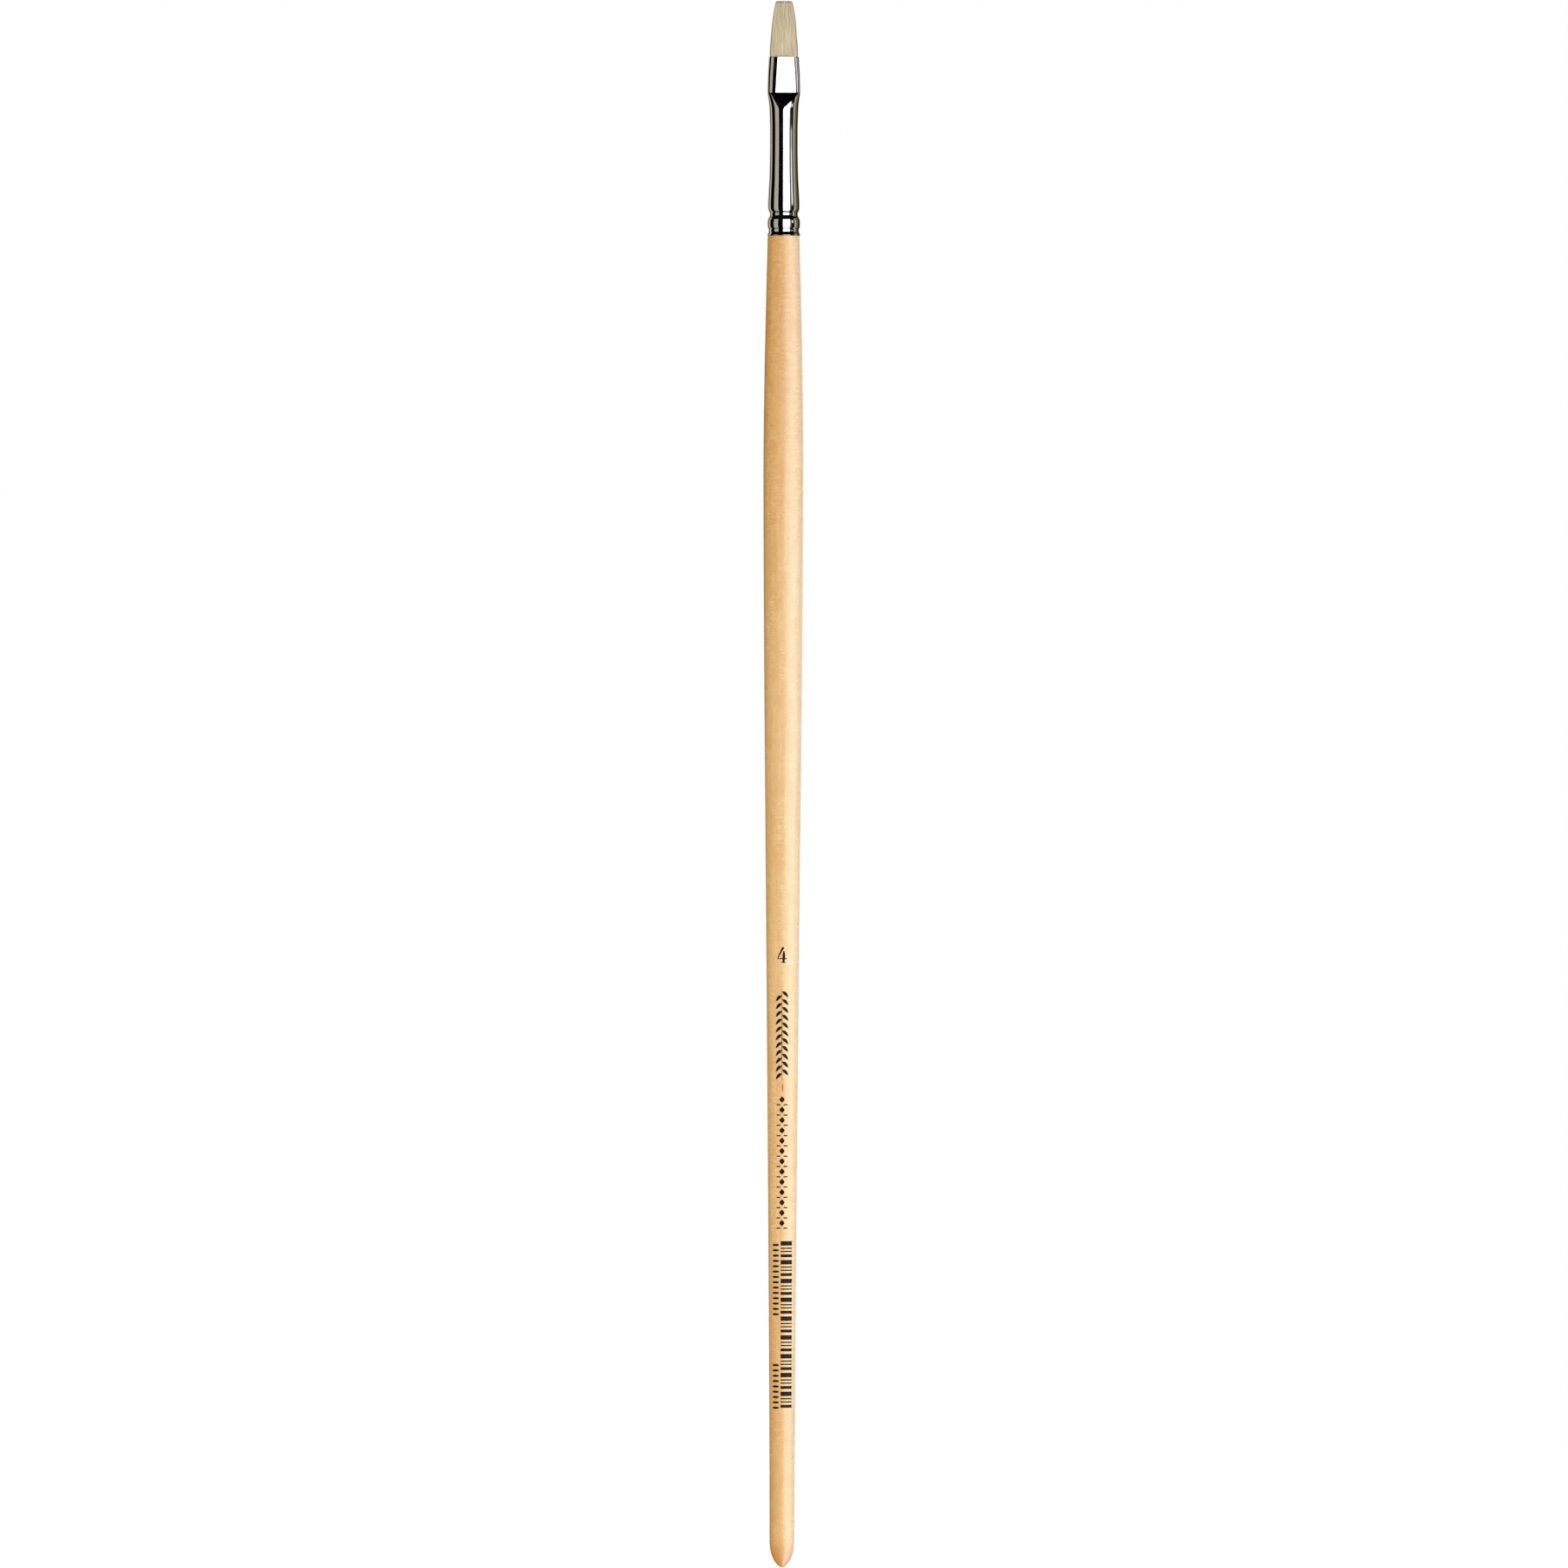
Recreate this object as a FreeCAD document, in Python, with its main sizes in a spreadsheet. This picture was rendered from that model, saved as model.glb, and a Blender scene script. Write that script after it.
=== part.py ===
"""Long-handled flat artist's paint brush, standing on the tip of its tail with the hair up.

Millimetres. +Z runs up the brush from the tip of the tail to the tip of the hair, X runs across the flat
of the hair and Y through its thickness. The origin is the tip of the tail, on the brush's axis.
"""

import FreeCAD, Part

import math
import os
from types import SimpleNamespace

import Sketcher

# Driving dimensions, in millimetres. A radius or height is measured from the brush's axis or tail tip.
SIZES = {
    # handle
    "tail_radius": 2.40,
    "tail_nose_length": 5.2,
    "tail_peg_length": 12.0,
    "stem_middle_radius": 3.00,
    "stem_middle_height": 100.0,
    "belly_start_radius": 3.70,
    "belly_start_height": 178.0,
    "belly_radius": 3.845,
    "belly_height": 211.0,
    "neck_start_radius": 3.43,
    "neck_start_height": 240.0,
    "shoulder_radius": 3.06,
    "shoulder_height": 255.0,
    "tenon_chamfer": 0.5,
    # ferrule, heights measured from its base on the handle's shoulder
    "ferrule_wall": 0.25,
    "ferrule_length": 34.25,
    "lip_radius": 3.20,
    "lower_groove_radius": 3.00,
    "lower_groove_rise": 1.1,
    "bead_radius": 3.16,
    "bead_rise": 2.4,
    "bead_top_radius": 2.86,
    "bead_top_rise": 3.6,
    "upper_groove_radius": 2.72,
    "upper_groove_rise": 4.1,
    "barrel_radius": 3.06,
    "barrel_rise": 5.5,
    "waist_radius": 2.71,
    "waist_rise": 17.0,
    "press_start_radius": 2.79,
    "press_start_rise": 24.0,
    "press_shoulder_width": 6.26,
    "press_shoulder_thickness": 2.20,
    "press_shoulder_rise": 27.3,
    "mouth_width": 5.75,
    "mouth_thickness": 2.45,
    # filling
    "glue_film": 0.08,
    "hair_clearance": 0.04,
    # hair, heights measured from the ferrule's mouth
    "hair_free_length": 10.75,
    "hair_base_width": 5.50,
    "hair_base_thickness": 2.20,
    "hair_base_rise": 0.4,
    "hair_middle_width": 4.82,
    "hair_middle_thickness": 1.90,
    "hair_middle_rise": 5.6,
    "hair_upper_width": 4.00,
    "hair_upper_thickness": 1.40,
    "hair_upper_rise": 8.9,
    "hair_tip_width": 3.20,
    "hair_tip_thickness": 0.80,
}


class Size:
    """A length with its value in millimetres and its formula in the sheet's aliases."""

    def __init__(self, value, formula):
        self.value = value
        self.formula = formula

    def __add__(self, other):
        return Size(self.value + other.value, f"({self.formula} + {other.formula})")

    def __sub__(self, other):
        return Size(self.value - other.value, f"({self.formula} - {other.formula})")

    def __mul__(self, factor):
        return Size(self.value * factor, f"({self.formula} * {factor})")


ZERO = Size(0.0, "0")
ROUND_END = "quarter ellipse"


def make_sheet(doc):
    """Write the driving dimensions to the sheet and return them as named sizes."""
    sheet = doc.addObject("Spreadsheet::Sheet", "Sizes")
    sizes = SimpleNamespace()
    for row, (alias, value) in enumerate(SIZES.items(), start=1):
        sheet.set(f"A{row}", alias)
        sheet.set(f"B{row}", str(value))
        sheet.setAlias(f"B{row}", alias)
        setattr(sizes, alias, Size(value, f"Sizes.{alias}"))
    doc.recompute()
    return sizes


def new_body(doc, label):
    """An empty body whose label names its file."""
    body = doc.addObject("PartDesign::Body", label)
    body.Label = label
    return body


def new_sketch(body, name, role, height=ZERO):
    """A sketch on one of the body's own origin planes, lifted along that plane's normal."""
    sketch = body.newObject("Sketcher::SketchObject", name)
    plane = next(item for item in body.Origin.OriginFeatures if item.Role == role)
    sketch.AttachmentSupport = [(plane, "")]
    sketch.MapMode = "FlatFace"
    sketch.setExpression("AttachmentOffset.Base.z", height.formula)
    return sketch


def bind(sketch, kind, size, *where):
    """Add a dimension to the sketch and bind it to the sheet."""
    index = sketch.addConstraint(Sketcher.Constraint(kind, *where, size.value))
    sketch.setExpression(f"Constraints[{index}]", size.formula)


def arc_between(start, end, centre_height):
    """The arc from start to end whose centre lies at centre_height, drawn the short way round."""
    rise = end[1] - start[1]
    run = end[0] - start[0]
    middle = ((start[0] + end[0]) / 2, (start[1] + end[1]) / 2)
    # the centre is on the chord's perpendicular bisector, where that crosses centre_height
    centre = FreeCAD.Vector(middle[0] + (middle[1] - centre_height) * rise / run, centre_height, 0)
    first = FreeCAD.Vector(*start, 0) - centre
    last = FreeCAD.Vector(*end, 0) - centre
    middle_way = (first + last).normalize() * first.Length
    return Part.Arc(centre + first, centre + middle_way, centre + last), first.cross(last).z > 0


def quarter_ellipse(start, end):
    """The quarter ellipse from start, where it crosses the axis, to end, where it runs along the axis."""
    centre = FreeCAD.Vector(start[0], end[1], 0)
    ellipse = Part.Ellipse(FreeCAD.Vector(*start, 0), FreeCAD.Vector(*end, 0), centre)
    return Part.ArcOfEllipse(ellipse, 0, math.pi / 2)


def half_outline(body, name, path):
    """A closed outline in the XZ plane to turn about the Z axis, fixed by the sheet.

    Each step of the path is (radius, height) for a straight side to that point, (radius, height, centre
    height) for an arc to it, or (radius, height, ROUND_END) for a quarter ellipse from the axis to it.
    The first step is the side that closes the outline, from the last point to the first.
    """
    sketch = new_sketch(body, name, "XZ_Plane")
    corners = [(step[0].value, step[1].value) for step in path]
    ends = []
    for index, step in enumerate(path):
        start, end = corners[index - 1], corners[index]
        forward = True
        if len(step) == 2:
            side = Part.LineSegment(FreeCAD.Vector(*start, 0), FreeCAD.Vector(*end, 0))
        elif step[2] is ROUND_END:
            side = quarter_ellipse(start, end)
        else:
            side, forward = arc_between(start, end, step[2].value)
        sketch.addGeometry(side)
        ends.append((1, 2) if forward else (2, 1))
    for index, step in enumerate(path):
        before = (index - 1) % len(path)
        sketch.addConstraint(
            Sketcher.Constraint("Coincident", before, ends[before][1], index, ends[index][0])
        )
        bind(sketch, "DistanceX", step[0], -1, 1, index, ends[index][1])
        bind(sketch, "DistanceY", step[1], -1, 1, index, ends[index][1])
        if len(step) == 3 and step[2] is ROUND_END:
            bind(sketch, "DistanceY", step[1], -1, 1, index, 3)
            sketch.addConstraint(Sketcher.Constraint("PointOnObject", index, 3, -2))
            long_axis = sketch.GeometryCount
            sketch.exposeInternalGeometry(index)
            sketch.addConstraint(Sketcher.Constraint("Vertical", long_axis))
        elif len(step) == 3:
            bind(sketch, "DistanceY", step[2], -1, 1, index, 3)
    return sketch


def turn(body, name, sketch):
    """Turn a half outline a full circle about the brush's axis."""
    revolution = body.newObject("PartDesign::Revolution", name)
    revolution.Profile = sketch
    revolution.ReferenceAxis = (sketch, ["V_Axis"])
    revolution.Angle = 360
    return revolution


def slot_section(body, name, height, width, thickness):
    """A slot-shaped cross-section, width along X and thickness along Y, at a height up the brush."""
    sketch = new_sketch(body, name, "XY_Plane", height)
    radius = thickness * 0.5
    reach = (width - thickness) * 0.5
    for side, start, end in ((1, -math.pi / 2, math.pi / 2), (-1, math.pi / 2, 3 * math.pi / 2)):
        centre = FreeCAD.Vector(side * reach.value, 0, 0)
        circle = Part.Circle(centre, FreeCAD.Vector(0, 0, 1), radius.value)
        sketch.addGeometry(Part.ArcOfCircle(circle, start, end))
        edge = FreeCAD.Vector(side * reach.value, side * radius.value, 0)
        sketch.addGeometry(Part.LineSegment(edge, FreeCAD.Vector(-edge.x, edge.y, 0)))
    for index in range(4):
        sketch.addConstraint(Sketcher.Constraint("Tangent", index, 2, (index + 1) % 4, 1))
    for arc in (0, 2):
        sketch.addConstraint(Sketcher.Constraint("PointOnObject", arc, 3, -1))
        bind(sketch, "Radius", radius, arc)
    bind(sketch, "DistanceX", reach, -1, 1, 0, 3)
    bind(sketch, "DistanceX", reach, 2, 3, -1, 1)
    return sketch


def round_section(body, name, height, radius):
    """A round cross-section at a height up the brush."""
    sketch = new_sketch(body, name, "XY_Plane", height)
    sketch.addGeometry(Part.Circle(FreeCAD.Vector(), FreeCAD.Vector(0, 0, 1), radius.value))
    sketch.addConstraint(Sketcher.Constraint("Coincident", 0, 3, -1, 1))
    bind(sketch, "Radius", radius, 0)
    return sketch


def loft(body, kind, name, sections, ruled):
    """Join cross-sections, from first to last, into material or a hollow."""
    feature = body.newObject(f"PartDesign::{kind}Loft", name)
    feature.Profile = sections[0]
    feature.Sections = sections[1:]
    feature.Ruled = ruled
    return feature


def crimped_wall(s, inset):
    """Steps up the crimped end of the ferrule, from lip to waist, inset from its outside."""
    base = s.shoulder_height
    waist = base + s.waist_rise
    return [
        (s.lip_radius - inset, base),
        (s.lower_groove_radius - inset, base + s.lower_groove_rise, base + s.lower_groove_rise),
        (s.bead_radius - inset, base + s.bead_rise, base + s.bead_rise),
        (s.bead_top_radius - inset, base + s.bead_top_rise, base + s.bead_rise),
        (s.upper_groove_radius - inset, base + s.upper_groove_rise, base + s.upper_groove_rise),
        (s.barrel_radius - inset, base + s.barrel_rise, base + s.upper_groove_rise),
        (s.waist_radius - inset, waist, waist),
    ]


def upper_wall(s, inset):
    """Step from the waist of the ferrule to where its pressed part begins, inset from its outside."""
    base = s.shoulder_height
    return [(s.press_start_radius - inset, base + s.press_start_rise, base + s.waist_rise)]


def backwards(path):
    """The same steps taken from the last point down to the first."""
    return [path[-1][:2]] + [here[:2] + after[2:] for here, after in zip(path[-2::-1], path[:0:-1])]


def pressed_sections(body, name, s, inset):
    """Cross-sections of the ferrule's pressed part, from round to a slot, inset from its outside."""
    base = s.shoulder_height
    both = inset * 2
    width, thickness = s.press_shoulder_width - both, s.press_shoulder_thickness - both
    mouth_width, mouth_thickness = s.mouth_width - both, s.mouth_thickness - both
    return [
        round_section(body, f"{name}_start", base + s.press_start_rise, s.press_start_radius - inset),
        slot_section(body, f"{name}_shoulder", base + s.press_shoulder_rise, width, thickness),
        slot_section(body, f"{name}_mouth", base + s.ferrule_length, mouth_width, mouth_thickness),
    ]


def make_handle(doc, s):
    """Turned handle: rounded tail, parallel tail end, long taper, low belly, neck, shoulder and tenon."""
    body = new_body(doc, "handle")
    inset = s.ferrule_wall + s.glue_film
    peg_top = s.tail_nose_length + s.tail_peg_length
    path = [
        (ZERO, ZERO),
        (s.tail_radius, s.tail_nose_length, ROUND_END),
        (s.tail_radius, peg_top),
        (s.stem_middle_radius, s.stem_middle_height),
        (s.belly_start_radius, s.belly_start_height),
        (s.belly_radius, s.belly_height, s.belly_height),
        (s.neck_start_radius, s.neck_start_height, s.belly_height),
        (s.shoulder_radius, s.shoulder_height),
    ]
    path += crimped_wall(s, inset)
    path.append((ZERO, path[-1][1]))
    turned = turn(body, "turned_blank", half_outline(body, "outline", path))
    doc.recompute()
    top = s.shoulder_height + s.waist_rise
    rims = [
        f"Edge{number}"
        for number, edge in enumerate(turned.Shape.Edges, start=1)
        if edge.Closed and abs(edge.CenterOfGravity.z - top.value) < 0.001
    ]
    chamfer = body.newObject("PartDesign::Chamfer", "tenon_end")
    chamfer.Base = (turned, rims)
    chamfer.setExpression("Size", s.tenon_chamfer.formula)
    return body


def make_ferrule(doc, s):
    """Seamless tube: crimped and beaded at its base, waisted above, pressed flat at its mouth."""
    body = new_body(doc, "ferrule")
    outside = crimped_wall(s, ZERO) + upper_wall(s, ZERO)
    inside = crimped_wall(s, s.ferrule_wall) + upper_wall(s, s.ferrule_wall)
    turn(body, "round_wall", half_outline(body, "wall_outline", outside + backwards(inside)))
    loft(body, "Additive", "pressed_outside", pressed_sections(body, "outside", s, ZERO), True)
    loft(body, "Subtractive", "pressed_inside", pressed_sections(body, "inside", s, s.ferrule_wall), True)
    return body


def make_tenon_glue(doc, s):
    """Film of glue between the tenon and the crimped end of the ferrule."""
    body = new_body(doc, "tenon_glue")
    outside = crimped_wall(s, s.ferrule_wall)
    inside = crimped_wall(s, s.ferrule_wall + s.glue_film)
    turn(body, "film", half_outline(body, "film_outline", outside + backwards(inside)))
    return body


def make_root_cement(doc, s):
    """Plug of hard cement across the ferrule, from the tenon's end to the roots of the hair."""
    body = new_body(doc, "root_cement")
    waist = s.shoulder_height + s.waist_rise
    top = upper_wall(s, s.ferrule_wall)
    path = [(ZERO, waist), (s.waist_radius - s.ferrule_wall, waist)] + top + [(ZERO, top[0][1])]
    turn(body, "plug", half_outline(body, "plug_outline", path))
    return body


def make_hair_bundle(doc, s):
    """The filaments as one closed solid: root inside the ferrule, then the free hair to its square tip."""
    body = new_body(doc, "hair_bundle")
    mouth = s.shoulder_height + s.ferrule_length
    root = pressed_sections(body, "root", s, s.ferrule_wall + s.hair_clearance)
    loft(body, "Additive", "root", root, True)
    base = slot_section(body, "base", mouth + s.hair_base_rise, s.hair_base_width, s.hair_base_thickness)
    loft(body, "Additive", "flare", [root[-1], base], True)
    middle = slot_section(
        body, "middle", mouth + s.hair_middle_rise, s.hair_middle_width, s.hair_middle_thickness
    )
    upper = slot_section(body, "upper", mouth + s.hair_upper_rise, s.hair_upper_width, s.hair_upper_thickness)
    tip = slot_section(body, "tip", mouth + s.hair_free_length, s.hair_tip_width, s.hair_tip_thickness)
    loft(body, "Additive", "free_hair", [base, middle, upper, tip], False)
    return body


def check(doc, pieces):
    """Stop if any object of the document failed or any piece has no sound shape."""
    failed = [item.Name for item in doc.Objects if {"Invalid", "Error"} & set(item.State)]
    unsound = [piece.Label for piece in pieces if piece.Shape.isNull() or not piece.Shape.isValid()]
    if failed or unsound:
        raise RuntimeError(f"failed objects {failed}, unsound shapes {unsound}")


def main():
    """Build the document, check it and write one STEP file for each piece."""
    doc = FreeCAD.newDocument("paint_brush")
    s = make_sheet(doc)
    makers = (make_handle, make_tenon_glue, make_ferrule, make_root_cement, make_hair_bundle)
    pieces = [make(doc, s) for make in makers]
    doc.recompute()
    check(doc, pieces)
    os.makedirs("parts", exist_ok=True)
    for piece in pieces:
        piece.Shape.exportStep(f"parts/{piece.Label}.step")
        print(f"{piece.Label}: {len(piece.Shape.Solids)} solid, {piece.Shape.Volume:.2f} cubic mm")


main()
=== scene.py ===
"""Long-handled flat artist's paint brush, standing on the tip of its tail with the hair up.

Metres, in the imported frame: +Z runs up the brush from the tip of the tail, X runs across the flat of the
hair and -Y is the side that carries the print. Shapes are worked out in millimetres and then scaled, and
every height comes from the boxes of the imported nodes.
"""

import math

import bpy
import numpy as np
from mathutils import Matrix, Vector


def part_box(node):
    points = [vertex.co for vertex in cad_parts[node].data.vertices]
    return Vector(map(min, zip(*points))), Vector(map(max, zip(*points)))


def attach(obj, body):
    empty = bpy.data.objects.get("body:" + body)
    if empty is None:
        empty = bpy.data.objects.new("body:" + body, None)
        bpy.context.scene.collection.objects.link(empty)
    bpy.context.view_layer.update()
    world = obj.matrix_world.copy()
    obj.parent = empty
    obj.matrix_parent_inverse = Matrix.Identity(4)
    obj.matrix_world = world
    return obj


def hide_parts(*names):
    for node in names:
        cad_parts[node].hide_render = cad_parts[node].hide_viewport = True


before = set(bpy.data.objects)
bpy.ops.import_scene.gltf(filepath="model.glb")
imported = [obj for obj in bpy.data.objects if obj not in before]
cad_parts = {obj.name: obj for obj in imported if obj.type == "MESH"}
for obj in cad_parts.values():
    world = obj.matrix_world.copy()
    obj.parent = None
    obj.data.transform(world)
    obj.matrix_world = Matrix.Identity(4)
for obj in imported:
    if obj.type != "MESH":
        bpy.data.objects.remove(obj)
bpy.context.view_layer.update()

MM = 0.001
SEED = 20

# Heights up the brush in millimetres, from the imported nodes.
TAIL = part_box("handle")[0].z / MM
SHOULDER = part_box("ferrule")[0].z / MM
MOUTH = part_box("ferrule")[1].z / MM
TENON_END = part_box("handle")[1].z / MM
HAIR_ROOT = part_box("hair_bundle")[0].z / MM
HAIR_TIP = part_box("hair_bundle")[1].z / MM
BRUSH_MIDDLE = (TAIL + HAIR_TIP) / 2

# Handle, in millimetres: (height, radius) along the taper, then the rounded nose of the tail.
HANDLE_TAPER = [(5.2, 2.40), (17.2, 2.42), (60.0, 2.68), (100.0, 3.00), (140.0, 3.36), (178.0, 3.69),
                (211.0, 3.845), (228.0, 3.67), (240.0, 3.43), (255.0, 3.07)]
NOSE_LENGTH = 5.2
NOSE_FULLNESS = 2.2
NOSE_ROUNDNESS = 0.6
SHOULDER_ROUNDING = 0.12

# Ferrule, in millimetres: (rise above its base, half width) up the outside, then the pressed flat. The
# flat's share is in degrees of lean, and its offset is how far the press sits to one side.
FERRULE_SIDE = [(0.0, 3.272), (0.12, 3.228), (0.40, 3.12), (0.76, 2.97), (0.95, 2.95), (1.20, 2.97),
                (1.45, 3.09), (1.75, 3.135), (2.4, 3.165), (2.95, 3.13), (3.25, 3.04), (3.75, 2.80),
                (4.1, 2.72), (4.35, 2.77), (4.65, 2.93), (5.1, 3.04), (5.8, 3.065), (8.4, 2.96),
                (10.9, 2.825), (13.4, 2.755), (17.0, 2.70), (20.0, 2.70), (22.6, 2.76), (24.5, 2.83),
                (26.0, 2.97), (27.4, 3.13), (29.0, 3.11), (31.0, 3.05), (33.1, 2.93), (34.25, 2.875)]
PRESS_START = 24.05
PRESS_SHOULDER = 27.38
PRESS_EASE = 1.35
PRESS_LAG = 1.3
PRESS_LAG_START = 0.1
SHOULDER_HALF_DEPTH = 1.10
MOUTH_HALF_DEPTH = 1.225
SHOULDER_HALF_FLAT = 1.34
MOUTH_HALF_FLAT = 0.90
END_FULLNESS = 1.88
FLAT_SHARE = 36.0
FLAT_OFFSET = -0.24
FLAT_LIMIT = 0.8
FLATTENING = 0.985
WALL = 0.25
BASE_RIM_POWER = 0.35
GLUE_FILM = 0.08
TENON_CHAMFER = 0.5

# Hair, in millimetres: (rise above the mouth, half width) and (rise above the mouth, half thickness).
HAIR_SIDE = [(-2.0, 2.54), (0.0, 2.56), (0.45, 2.74), (2.9, 2.58), (4.9, 2.42), (6.9, 2.26), (7.9, 2.14),
             (8.9, 1.97), (9.9, 1.77), (10.4, 1.66), (10.75, 1.58)]
HAIR_THICKNESS = [(-2.0, 0.90), (0.0, 0.91), (0.45, 1.08), (2.9, 1.03), (5.6, 0.92), (8.9, 0.66),
                  (10.75, 0.38)]
HAIR_SPACING = 0.104
HAIR_ROOT_RADIUS = 0.048
HAIR_TIP_RADIUS = 0.020
HAIR_SIDES = 5
HAIR_RINGS = 9
HAIR_FOOT = 1.6
HAIR_JITTER = 0.12
HAIR_BOW = 0.022
CLUMPS = 15
CLUMP_WANDER = 0.035
CLUMP_GATHER = 0.30
CLUMP_DROP = 0.06
TIP_DROP = 0.10
SIDE_DROP = 0.10
SHORT_DROP = 0.6
STRAY_SHARE = 0.012
STRAY_REACH = (0.05, 0.13)
# Where the painted shade on the outer filaments at both sides of the bundle starts, and how softly it grows.
SIDE_SHADE_START = 0.87
SIDE_SHADE_SOFTNESS = 0.09
CORE_GAP = 0.04
CORE_RISE = 8.6


# ---------------------------------------------------------------------------------------------------------
# Shapes
# ---------------------------------------------------------------------------------------------------------

def flowing(stations, at):
    """A smooth curve through (place, value) stations that never overshoots one.

    Between two stations it is a cubic whose slope at each station is the harmonic mean of the straight
    slopes on either side, or nothing where those slopes have opposite signs.
    """
    place, value = np.array(stations, float).T
    step = np.diff(place)
    rise = np.diff(value) / step
    slope = np.zeros(len(place))
    same = rise[:-1] * rise[1:] > 0
    total = np.where(same, rise[:-1] + rise[1:], 1.0)
    slope[1:-1] = np.where(same, 2 * rise[:-1] * rise[1:] / total, 0.0)
    slope[0] = rise[0]
    slope[-1] = rise[-1]
    at = np.asarray(at, float)
    left = np.clip(np.searchsorted(place, at, side="right") - 1, 0, len(step) - 1)
    length = step[left]
    s = np.clip((at - place[left]) / length, 0.0, 1.0)
    return (value[left] * (1 + 2 * s) * (1 - s) ** 2 + value[left + 1] * s * s * (3 - 2 * s)
            + slope[left] * length * s * (1 - s) ** 2 - slope[left + 1] * length * s * s * (1 - s))


def grid_faces(rows, columns, rows_close, columns_close):
    """Four-sided faces of a grid of points, each row of points following the one before it."""
    row = np.arange(rows if rows_close else rows - 1)[:, None]
    column = np.arange(columns if columns_close else columns - 1)[None, :]
    after_row = (row + 1) % rows
    after_column = (column + 1) % columns
    corners = (row * columns + column, row * columns + after_column,
               after_row * columns + after_column, after_row * columns + column)
    return np.stack(np.broadcast_arrays(*corners), axis=-1).reshape(-1, 4)


def new_piece(name, points, faces, smooth=True):
    """A mesh object at the origin from points in millimetres and lists of corner numbers."""
    mesh = bpy.data.meshes.new(name)
    mesh.from_pydata((np.asarray(points) * MM).reshape(-1, 3).tolist(), [], [list(face) for face in faces])
    mesh.update()
    mesh.polygons.foreach_set("use_smooth", np.full(len(mesh.polygons), smooth))
    piece = bpy.data.objects.new(name, mesh)
    bpy.context.scene.collection.objects.link(piece)
    return piece


def handle_radius(height):
    """Radius of the visible handle at a height: the nose's full curve, then the flowing taper.

    The nose is tail radius * (1 - (1 - share of the nose) ^ fullness) ^ roundness.
    """
    height = np.asarray(height, float)
    share = np.clip((height - TAIL) / NOSE_LENGTH, 0.0, 1.0)
    nose = HANDLE_TAPER[0][1] * (1 - (1 - share) ** NOSE_FULLNESS) ** NOSE_ROUNDNESS
    return np.where(height < TAIL + NOSE_LENGTH, nose, flowing(HANDLE_TAPER, height))


def make_handle(columns=144, nose_rows=40, stem_rows=150):
    """Turned handle: a radius carried up the axis and round it, from the tail's tip to the tenon's end.

    Its rows run up the nose, the stem and the neck, over the rounded shoulder and up the tenon, which
    keeps a wall and a glue film inside the ferrule. The first and last rows close on the axis.
    """
    nose = TAIL + NOSE_LENGTH * np.linspace(0, 1, nose_rows, endpoint=False) ** 2
    stem_top = SHOULDER - SHOULDER_ROUNDING
    stem = np.linspace(TAIL + NOSE_LENGTH, stem_top, stem_rows)
    turn = np.linspace(0, math.pi / 2, 6)[1:]
    edge_radius = handle_radius(stem_top) - SHOULDER_ROUNDING * (1 - np.cos(turn))
    edge_height = stem_top + SHOULDER_ROUNDING * np.sin(turn)
    tenon_rise = np.linspace(0.0, TENON_END - SHOULDER - TENON_CHAMFER, 70)
    tenon_radius = flowing(FERRULE_SIDE, tenon_rise) - WALL - GLUE_FILM
    tenon_radius = np.minimum(tenon_radius, edge_radius[-1])
    height = np.concatenate([nose, stem, edge_height, SHOULDER + tenon_rise, [TENON_END]])
    radius = np.concatenate([handle_radius(nose), handle_radius(stem), edge_radius, tenon_radius,
                             [tenon_radius[-1] - TENON_CHAMFER]])
    height, radius = height[1:], radius[1:]
    angle = np.linspace(0, 2 * math.pi, columns, endpoint=False)
    points = np.stack(np.broadcast_arrays(radius[:, None] * np.sin(angle), -radius[:, None] * np.cos(angle),
                                          height[:, None]), axis=-1).reshape(-1, 3)
    rows = len(height)
    faces = grid_faces(rows, columns, False, True).tolist()
    tail_tip = len(points)
    tenon_tip = tail_tip + 1
    points = np.vstack([points, [[0, 0, TAIL], [0, 0, TENON_END]]])
    around = np.arange(columns)
    after = (around + 1) % columns
    last = (rows - 1) * columns
    faces += np.stack([np.full(columns, tail_tip), after, around], axis=-1).tolist()
    faces += np.stack([np.full(columns, tenon_tip), last + around, last + after], axis=-1).tolist()
    return new_piece("turned_handle", points, faces)


def pressed(rise, angle):
    """Half depth, half flat and flatness of the ferrule at a rise above its base and an angle from the front.

    Below the press the section is round. Through the press the depth falls along an eased curve to the
    shoulder's, while the flat opens out, and above the shoulder both run straight to the mouth's. The
    right side sinks later than the left: its power grows with the sine of the angle.
    """
    rise = np.asarray(rise, float)
    round_radius = flowing(FERRULE_SIDE, rise)
    share = np.clip((rise - PRESS_START) / (PRESS_SHOULDER - PRESS_START), 0.0, 1.0)
    up = np.clip((rise - PRESS_SHOULDER) / (MOUTH - SHOULDER - PRESS_SHOULDER), 0.0, 1.0)
    start_radius = flowing(FERRULE_SIDE, min(PRESS_START, MOUTH))
    ease = PRESS_EASE + PRESS_LAG * np.clip(np.sin(angle) + PRESS_LAG_START, 0, 1)
    sinking = start_radius + (SHOULDER_HALF_DEPTH - start_radius) * share ** ease
    above = SHOULDER_HALF_DEPTH + (MOUTH_HALF_DEPTH - SHOULDER_HALF_DEPTH) * up
    depth = np.where(rise < PRESS_START, round_radius, np.where(rise < PRESS_SHOULDER, sinking, above))
    flat = share * (SHOULDER_HALF_FLAT + (MOUTH_HALF_FLAT - SHOULDER_HALF_FLAT) * up)
    return depth, flat, share


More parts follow.
